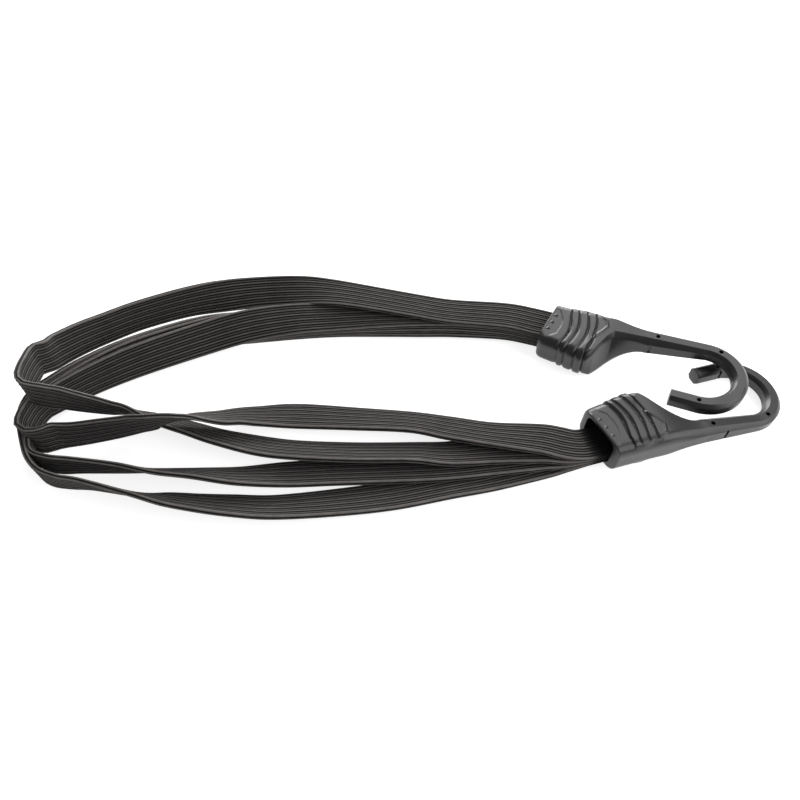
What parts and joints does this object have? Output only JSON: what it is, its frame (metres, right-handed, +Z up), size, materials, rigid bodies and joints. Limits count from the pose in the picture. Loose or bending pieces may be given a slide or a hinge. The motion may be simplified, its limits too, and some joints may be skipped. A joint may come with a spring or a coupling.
{
  "type": "bungee cord",
  "caption": "Flat-strap bungee cord folded in half: ribbed elastic straps run side by side between two moulded hooks with flared grip boots.",
  "frame": {"origin": "On the surface that the cord lies on, under the centre of the box round the two hooks.", "axes": "+Z up. +X from the fold of the straps towards the hooks' curls. +Y from hook a to hook b."},
  "size_m": [0.3198, 0.1258, 0.0358],
  "materials": {
    "hook_plastic": "satin moulded",
    "core_steel": "drawn wire and folded strip",
    "strap_elastic": "matt, ribbed lengthwise"
  },
  "bodies": {
    "strap_bend": {"strap_1_middle": "strap_elastic", "strap_2_middle": "strap_elastic", "strap_3_middle": "strap_elastic", "strap_4_middle": "strap_elastic"},
    "run_a": {"strap_1_run_a": "strap_elastic", "strap_2_run_a": "strap_elastic", "strap_3_run_a": "strap_elastic", "strap_4_run_a": "strap_elastic"},
    "run_b": {"strap_1_run_b": "strap_elastic", "strap_2_run_b": "strap_elastic", "strap_3_run_b": "strap_elastic", "strap_4_run_b": "strap_elastic"},
    "hook_a": {"hook_a_body": "hook_plastic", "hook_a_core": "core_steel", "hook_a_clip": "core_steel", "strap_1_end_a": "strap_elastic", "strap_2_end_a": "strap_elastic", "strap_3_end_a": "strap_elastic", "strap_4_end_a": "strap_elastic"},
    "hook_b": {"hook_b_body": "hook_plastic", "hook_b_core": "core_steel", "hook_b_clip": "core_steel", "strap_1_end_b": "strap_elastic", "strap_2_end_b": "strap_elastic", "strap_3_end_b": "strap_elastic", "strap_4_end_b": "strap_elastic"}
  },
  "joints": [
    {"name": "hook_a_stretch", "type": "slide", "parent": "strap_bend", "child": "run_a", "axis": [1, 0, 0], "range_m": [0, 0.12], "stiffness_N_per_m": 300, "deforming": ["strap_1_run_a", "strap_2_run_a", "strap_3_run_a", "strap_4_run_a"]},
    {"name": "hook_b_stretch", "type": "slide", "parent": "strap_bend", "child": "run_b", "axis": [1, 0, 0], "range_m": [0, 0.12], "stiffness_N_per_m": 300, "deforming": ["strap_1_run_b", "strap_2_run_b", "strap_3_run_b", "strap_4_run_b"]},
    {"name": "hook_a_swing", "type": "hinge", "parent": "run_a", "child": "hook_a", "pos_m": [-0.0776, -0.0365, 0.006], "axis": [0, 0, 1], "range_deg": [-60, 0], "deforming": ["strap_1_run_a", "strap_2_run_a", "strap_3_run_a", "strap_4_run_a"]},
    {"name": "hook_b_swing", "type": "hinge", "parent": "run_b", "child": "hook_b", "pos_m": [-0.0906, 0.039, 0.006], "axis": [0, 0, 1], "range_deg": [0, 60], "deforming": ["strap_1_run_b", "strap_2_run_b", "strap_3_run_b", "strap_4_run_b"]}
  ],
  "couplings": [
    {"joint": "hook_b_stretch", "follows": "hook_a_stretch", "ratio": 1}
  ]
}
